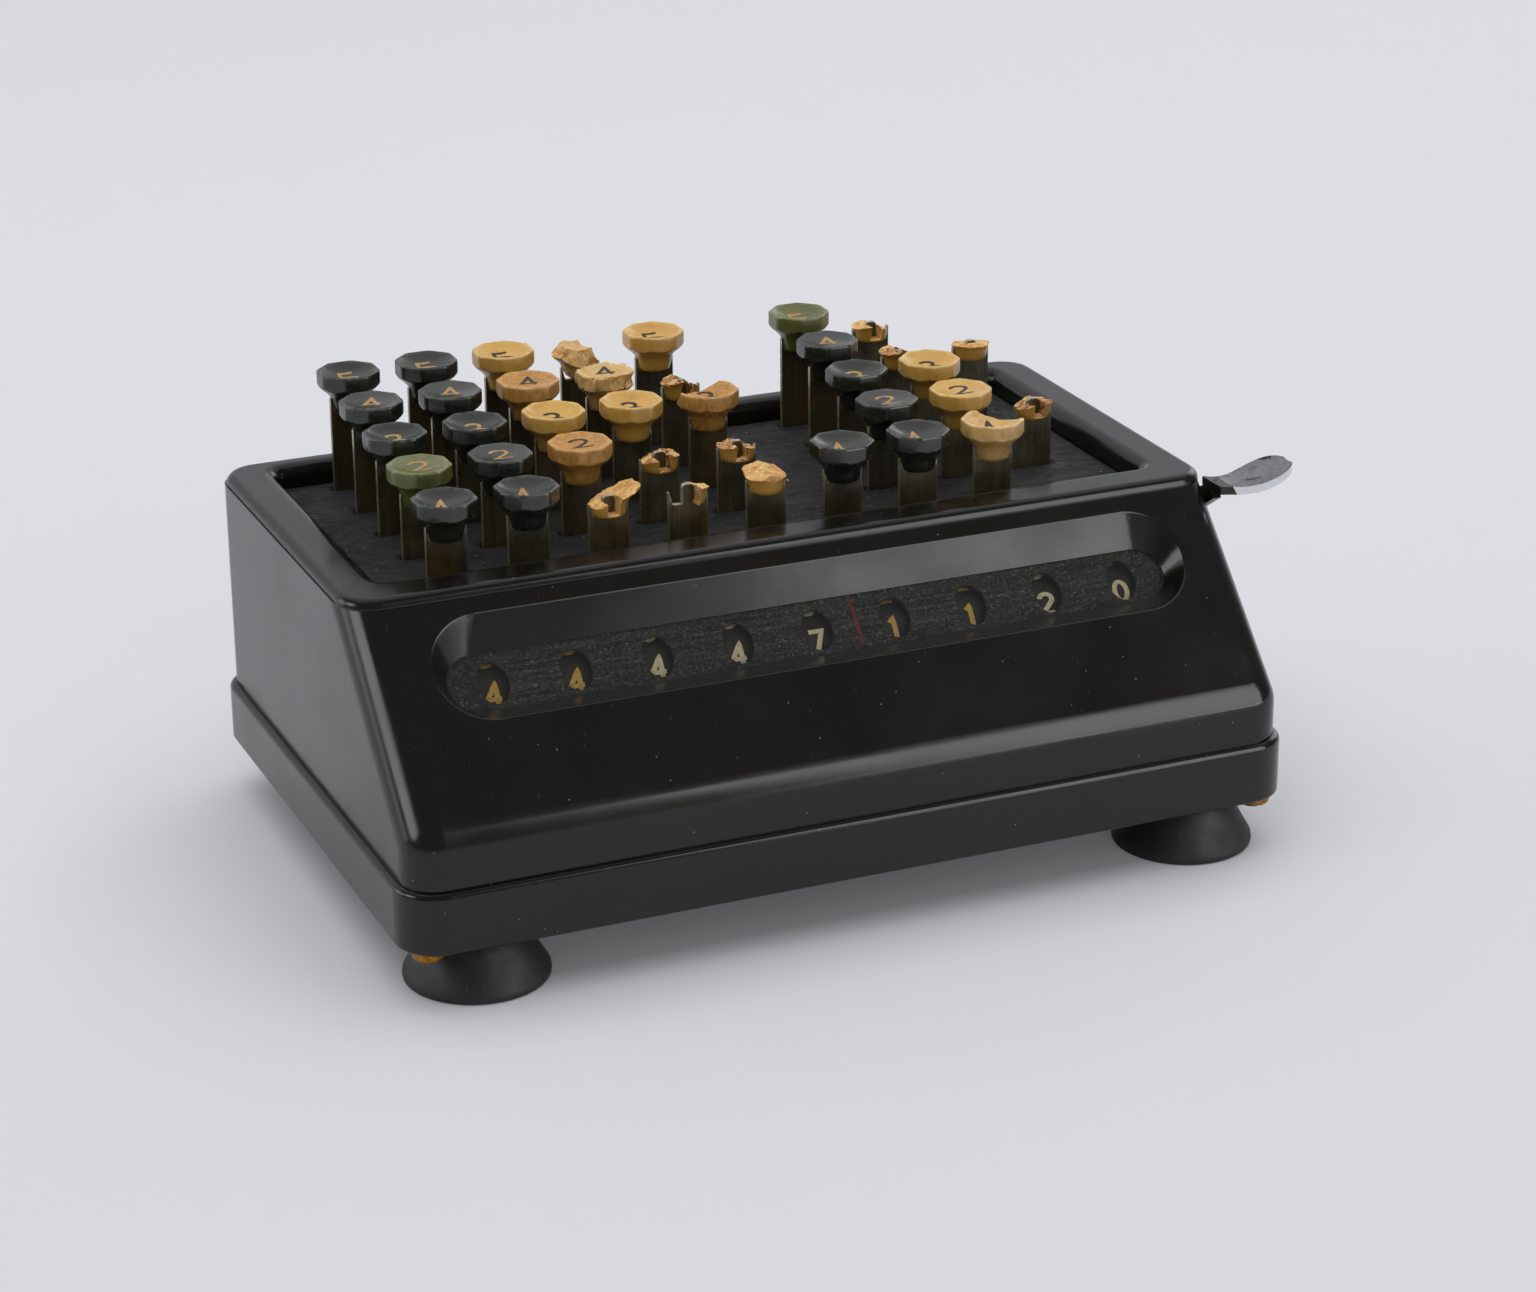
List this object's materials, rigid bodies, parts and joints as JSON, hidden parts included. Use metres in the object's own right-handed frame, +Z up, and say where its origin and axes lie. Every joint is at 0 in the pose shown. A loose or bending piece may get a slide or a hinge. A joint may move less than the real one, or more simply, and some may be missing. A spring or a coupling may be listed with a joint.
{
  "type": "adding machine",
  "caption": "Key-driven adding machine: a moulded case on rubber feet, sloped front with dial window, a grid of number keys on flat stems and a side clearing lever.",
  "frame": {"origin": "on the surface the machine stands on, under the middle of the whole machine with its lever", "axes": "+X to the operator's right, +Y to the back, +Z up"},
  "size_m": [0.2332, 0.1422, 0.1028],
  "materials": {
    "case": "near-black phenolic moulding, polished by the mould",
    "felt": "pressed dark wool felt",
    "mask": "black fibrous card",
    "window": "clear celluloid sheet",
    "feet": "dark moulded rubber",
    "screws": "dulled brass",
    "frames": "cold-rolled sheet steel, lightly oiled",
    "shafts": "ground bright steel rod",
    "lever": "chromium plate, pitted at the tip",
    "wheels": "black moulded wheel with painted figures",
    "dark_caps": "dark green-black cellulose cap on a steel stem",
    "olive_caps": "olive green cellulose cap on a steel stem",
    "cream_caps": "aged cream cellulose cap on a steel stem",
    "stems": "browned and rusting strip steel, cap broken off"
  },
  "bodies": {
    "chassis": {"base_tray": "case", "upper_case": "case", "keyboard_felt": "felt", "dial_mask": "mask", "dial_window": "window", "rubber_feet": "feet", "case_screws": "screws", "side_frames": "frames", "key_guides": "frames", "wheel_axle": "shafts", "drive_slides": "frames", "slide_combs": "frames"},
    "clearing_lever": {"clearing_lever": "lever"},
    "number_wheel_1": {"number_wheel_1": "wheels"},
    "number_wheel_2": {"number_wheel_2": "wheels"},
    "number_wheel_3": {"number_wheel_3": "wheels"},
    "number_wheel_4": {"number_wheel_4": "wheels"},
    "number_wheel_5": {"number_wheel_5": "wheels"},
    "number_wheel_6": {"number_wheel_6": "wheels"},
    "number_wheel_7": {"number_wheel_7": "wheels"},
    "number_wheel_8": {"number_wheel_8": "wheels"},
    "number_wheel_9": {"number_wheel_9": "wheels"},
    "key_c1_r1": {"key_c1_r1": "dark_caps"},
    "key_c1_r2": {"key_c1_r2": "olive_caps"},
    "key_c1_r3": {"key_c1_r3": "dark_caps"},
    "key_c1_r4": {"key_c1_r4": "dark_caps"},
    "key_c1_r5": {"key_c1_r5": "dark_caps"},
    "key_c2_r1": {"key_c2_r1": "dark_caps"},
    "key_c2_r2": {"key_c2_r2": "dark_caps"},
    "key_c2_r3": {"key_c2_r3": "dark_caps"},
    "key_c2_r4": {"key_c2_r4": "dark_caps"},
    "key_c2_r5": {"key_c2_r5": "dark_caps"},
    "key_c3_r1": {"key_c3_r1": "cream_caps"},
    "key_c3_r2": {"key_c3_r2": "cream_caps"},
    "key_c3_r3": {"key_c3_r3": "cream_caps"},
    "key_c3_r4": {"key_c3_r4": "cream_caps"},
    "key_c3_r5": {"key_c3_r5": "cream_caps"},
    "key_c4_r1": {"key_c4_r1": "stems"},
    "key_c4_r2": {"key_c4_r2": "stems"},
    "key_c4_r3": {"key_c4_r3": "cream_caps"},
    "key_c4_r4": {"key_c4_r4": "cream_caps"},
    "key_c4_r5": {"key_c4_r5": "cream_caps"},
    "key_c5_r1": {"key_c5_r1": "cream_caps"},
    "key_c5_r2": {"key_c5_r2": "stems"},
    "key_c5_r3": {"key_c5_r3": "cream_caps"},
    "key_c5_r4": {"key_c5_r4": "stems"},
    "key_c5_r5": {"key_c5_r5": "cream_caps"},
    "key_c6_r1": {"key_c6_r1": "dark_caps"},
    "key_c7_r1": {"key_c7_r1": "dark_caps"},
    "key_c7_r2": {"key_c7_r2": "dark_caps"},
    "key_c7_r3": {"key_c7_r3": "dark_caps"},
    "key_c7_r4": {"key_c7_r4": "dark_caps"},
    "key_c7_r5": {"key_c7_r5": "olive_caps"},
    "key_c8_r1": {"key_c8_r1": "cream_caps"},
    "key_c8_r2": {"key_c8_r2": "cream_caps"},
    "key_c8_r3": {"key_c8_r3": "cream_caps"},
    "key_c8_r4": {"key_c8_r4": "stems"},
    "key_c8_r5": {"key_c8_r5": "stems"},
    "key_c9_r2": {"key_c9_r2": "stems"},
    "key_c9_r4": {"key_c9_r4": "stems"}
  },
  "joints": [
    {"name": "clearing_lever_turn", "type": "hinge", "parent": "chassis", "child": "clearing_lever", "pos_m": [0, -0.00253, 0.057], "axis": [1, 0, 0], "range_deg": [0, 38], "stiffness_Nm_per_rad": 0.05, "springref_deg": -28.65},
    {"name": "number_wheel_1_turn", "type": "hinge", "parent": "chassis", "child": "number_wheel_1", "pos_m": [-0.0854, -0.02768, 0.04814], "axis": [1, 0, 0], "continuous": true},
    {"name": "number_wheel_2_turn", "type": "hinge", "parent": "chassis", "child": "number_wheel_2", "pos_m": [-0.06635, -0.02768, 0.04814], "axis": [1, 0, 0], "continuous": true},
    {"name": "number_wheel_3_turn", "type": "hinge", "parent": "chassis", "child": "number_wheel_3", "pos_m": [-0.0473, -0.02768, 0.04814], "axis": [1, 0, 0], "continuous": true},
    {"name": "number_wheel_4_turn", "type": "hinge", "parent": "chassis", "child": "number_wheel_4", "pos_m": [-0.02825, -0.02768, 0.04814], "axis": [1, 0, 0], "continuous": true},
    {"name": "number_wheel_5_turn", "type": "hinge", "parent": "chassis", "child": "number_wheel_5", "pos_m": [-0.0092, -0.02768, 0.04814], "axis": [1, 0, 0], "continuous": true},
    {"name": "number_wheel_6_turn", "type": "hinge", "parent": "chassis", "child": "number_wheel_6", "pos_m": [0.00985, -0.02768, 0.04814], "axis": [1, 0, 0], "continuous": true},
    {"name": "number_wheel_7_turn", "type": "hinge", "parent": "chassis", "child": "number_wheel_7", "pos_m": [0.0289, -0.02768, 0.04814], "axis": [1, 0, 0], "continuous": true},
    {"name": "number_wheel_8_turn", "type": "hinge", "parent": "chassis", "child": "number_wheel_8", "pos_m": [0.04795, -0.02768, 0.04814], "axis": [1, 0, 0], "continuous": true},
    {"name": "number_wheel_9_turn", "type": "hinge", "parent": "chassis", "child": "number_wheel_9", "pos_m": [0.067, -0.02768, 0.04814], "axis": [1, 0, 0], "continuous": true},
    {"name": "key_c1_r1_press", "type": "slide", "parent": "chassis", "child": "key_c1_r1", "axis": [0, 0, -1], "range_m": [0, 0.004], "stiffness_N_per_m": 100, "springref_m": -0.02},
    {"name": "key_c1_r2_press", "type": "slide", "parent": "chassis", "child": "key_c1_r2", "axis": [0, 0, -1], "range_m": [0, 0.0064], "stiffness_N_per_m": 100, "springref_m": -0.02},
    {"name": "key_c1_r3_press", "type": "slide", "parent": "chassis", "child": "key_c1_r3", "axis": [0, 0, -1], "range_m": [0, 0.0088], "stiffness_N_per_m": 100, "springref_m": -0.02},
    {"name": "key_c1_r4_press", "type": "slide", "parent": "chassis", "child": "key_c1_r4", "axis": [0, 0, -1], "range_m": [0, 0.0112], "stiffness_N_per_m": 100, "springref_m": -0.02},
    {"name": "key_c1_r5_press", "type": "slide", "parent": "chassis", "child": "key_c1_r5", "axis": [0, 0, -1], "range_m": [0, 0.0136], "stiffness_N_per_m": 100, "springref_m": -0.02},
    {"name": "key_c2_r1_press", "type": "slide", "parent": "chassis", "child": "key_c2_r1", "axis": [0, 0, -1], "range_m": [0, 0.004], "stiffness_N_per_m": 100, "springref_m": -0.02},
    {"name": "key_c2_r2_press", "type": "slide", "parent": "chassis", "child": "key_c2_r2", "axis": [0, 0, -1], "range_m": [0, 0.0064], "stiffness_N_per_m": 100, "springref_m": -0.02},
    {"name": "key_c2_r3_press", "type": "slide", "parent": "chassis", "child": "key_c2_r3", "axis": [0, 0, -1], "range_m": [0, 0.0088], "stiffness_N_per_m": 100, "springref_m": -0.02},
    {"name": "key_c2_r4_press", "type": "slide", "parent": "chassis", "child": "key_c2_r4", "axis": [0, 0, -1], "range_m": [0, 0.0112], "stiffness_N_per_m": 100, "springref_m": -0.02},
    {"name": "key_c2_r5_press", "type": "slide", "parent": "chassis", "child": "key_c2_r5", "axis": [0, 0, -1], "range_m": [0, 0.0136], "stiffness_N_per_m": 100, "springref_m": -0.02},
    {"name": "key_c3_r1_press", "type": "slide", "parent": "chassis", "child": "key_c3_r1", "axis": [0, 0, -1], "range_m": [0, 0.004], "stiffness_N_per_m": 100, "springref_m": -0.02},
    {"name": "key_c3_r2_press", "type": "slide", "parent": "chassis", "child": "key_c3_r2", "axis": [0, 0, -1], "range_m": [0, 0.0064], "stiffness_N_per_m": 100, "springref_m": -0.02},
    {"name": "key_c3_r3_press", "type": "slide", "parent": "chassis", "child": "key_c3_r3", "axis": [0, 0, -1], "range_m": [0, 0.0088], "stiffness_N_per_m": 100, "springref_m": -0.02},
    {"name": "key_c3_r4_press", "type": "slide", "parent": "chassis", "child": "key_c3_r4", "axis": [0, 0, -1], "range_m": [0, 0.0112], "stiffness_N_per_m": 100, "springref_m": -0.02},
    {"name": "key_c3_r5_press", "type": "slide", "parent": "chassis", "child": "key_c3_r5", "axis": [0, 0, -1], "range_m": [0, 0.0136], "stiffness_N_per_m": 100, "springref_m": -0.02},
    {"name": "key_c4_r1_press", "type": "slide", "parent": "chassis", "child": "key_c4_r1", "axis": [0, 0, -1], "range_m": [0, 0.004], "stiffness_N_per_m": 100, "springref_m": -0.02},
    {"name": "key_c4_r2_press", "type": "slide", "parent": "chassis", "child": "key_c4_r2", "axis": [0, 0, -1], "range_m": [0, 0.0064], "stiffness_N_per_m": 100, "springref_m": -0.02},
    {"name": "key_c4_r3_press", "type": "slide", "parent": "chassis", "child": "key_c4_r3", "axis": [0, 0, -1], "range_m": [0, 0.0088], "stiffness_N_per_m": 100, "springref_m": -0.02},
    {"name": "key_c4_r4_press", "type": "slide", "parent": "chassis", "child": "key_c4_r4", "axis": [0, 0, -1], "range_m": [0, 0.0112], "stiffness_N_per_m": 100, "springref_m": -0.02},
    {"name": "key_c4_r5_press", "type": "slide", "parent": "chassis", "child": "key_c4_r5", "axis": [0, 0, -1], "range_m": [0, 0.0136], "stiffness_N_per_m": 100, "springref_m": -0.02},
    {"name": "key_c5_r1_press", "type": "slide", "parent": "chassis", "child": "key_c5_r1", "axis": [0, 0, -1], "range_m": [0, 0.004], "stiffness_N_per_m": 100, "springref_m": -0.02},
    {"name": "key_c5_r2_press", "type": "slide", "parent": "chassis", "child": "key_c5_r2", "axis": [0, 0, -1], "range_m": [0, 0.0064], "stiffness_N_per_m": 100, "springref_m": -0.02},
    {"name": "key_c5_r3_press", "type": "slide", "parent": "chassis", "child": "key_c5_r3", "axis": [0, 0, -1], "range_m": [0, 0.0088], "stiffness_N_per_m": 100, "springref_m": -0.02},
    {"name": "key_c5_r4_press", "type": "slide", "parent": "chassis", "child": "key_c5_r4", "axis": [0, 0, -1], "range_m": [0, 0.0112], "stiffness_N_per_m": 100, "springref_m": -0.02},
    {"name": "key_c5_r5_press", "type": "slide", "parent": "chassis", "child": "key_c5_r5", "axis": [0, 0, -1], "range_m": [0, 0.0136], "stiffness_N_per_m": 100, "springref_m": -0.02},
    {"name": "key_c6_r1_press", "type": "slide", "parent": "chassis", "child": "key_c6_r1", "axis": [0, 0, -1], "range_m": [0, 0.004], "stiffness_N_per_m": 100, "springref_m": -0.02},
    {"name": "key_c7_r1_press", "type": "slide", "parent": "chassis", "child": "key_c7_r1", "axis": [0, 0, -1], "range_m": [0, 0.004], "stiffness_N_per_m": 100, "springref_m": -0.02},
    {"name": "key_c7_r2_press", "type": "slide", "parent": "chassis", "child": "key_c7_r2", "axis": [0, 0, -1], "range_m": [0, 0.0064], "stiffness_N_per_m": 100, "springref_m": -0.02},
    {"name": "key_c7_r3_press", "type": "slide", "parent": "chassis", "child": "key_c7_r3", "axis": [0, 0, -1], "range_m": [0, 0.0088], "stiffness_N_per_m": 100, "springref_m": -0.02},
    {"name": "key_c7_r4_press", "type": "slide", "parent": "chassis", "child": "key_c7_r4", "axis": [0, 0, -1], "range_m": [0, 0.0112], "stiffness_N_per_m": 100, "springref_m": -0.02},
    {"name": "key_c7_r5_press", "type": "slide", "parent": "chassis", "child": "key_c7_r5", "axis": [0, 0, -1], "range_m": [0, 0.0136], "stiffness_N_per_m": 100, "springref_m": -0.02},
    {"name": "key_c8_r1_press", "type": "slide", "parent": "chassis", "child": "key_c8_r1", "axis": [0, 0, -1], "range_m": [0, 0.004], "stiffness_N_per_m": 100, "springref_m": -0.02},
    {"name": "key_c8_r2_press", "type": "slide", "parent": "chassis", "child": "key_c8_r2", "axis": [0, 0, -1], "range_m": [0, 0.0064], "stiffness_N_per_m": 100, "springref_m": -0.02},
    {"name": "key_c8_r3_press", "type": "slide", "parent": "chassis", "child": "key_c8_r3", "axis": [0, 0, -1], "range_m": [0, 0.0088], "stiffness_N_per_m": 100, "springref_m": -0.02},
    {"name": "key_c8_r4_press", "type": "slide", "parent": "chassis", "child": "key_c8_r4", "axis": [0, 0, -1], "range_m": [0, 0.0112], "stiffness_N_per_m": 100, "springref_m": -0.02},
    {"name": "key_c8_r5_press", "type": "slide", "parent": "chassis", "child": "key_c8_r5", "axis": [0, 0, -1], "range_m": [0, 0.0136], "stiffness_N_per_m": 100, "springref_m": -0.02},
    {"name": "key_c9_r2_press", "type": "slide", "parent": "chassis", "child": "key_c9_r2", "axis": [0, 0, -1], "range_m": [0, 0.0064], "stiffness_N_per_m": 100, "springref_m": -0.02},
    {"name": "key_c9_r4_press", "type": "slide", "parent": "chassis", "child": "key_c9_r4", "axis": [0, 0, -1], "range_m": [0, 0.0112], "stiffness_N_per_m": 100, "springref_m": -0.02}
  ]
}
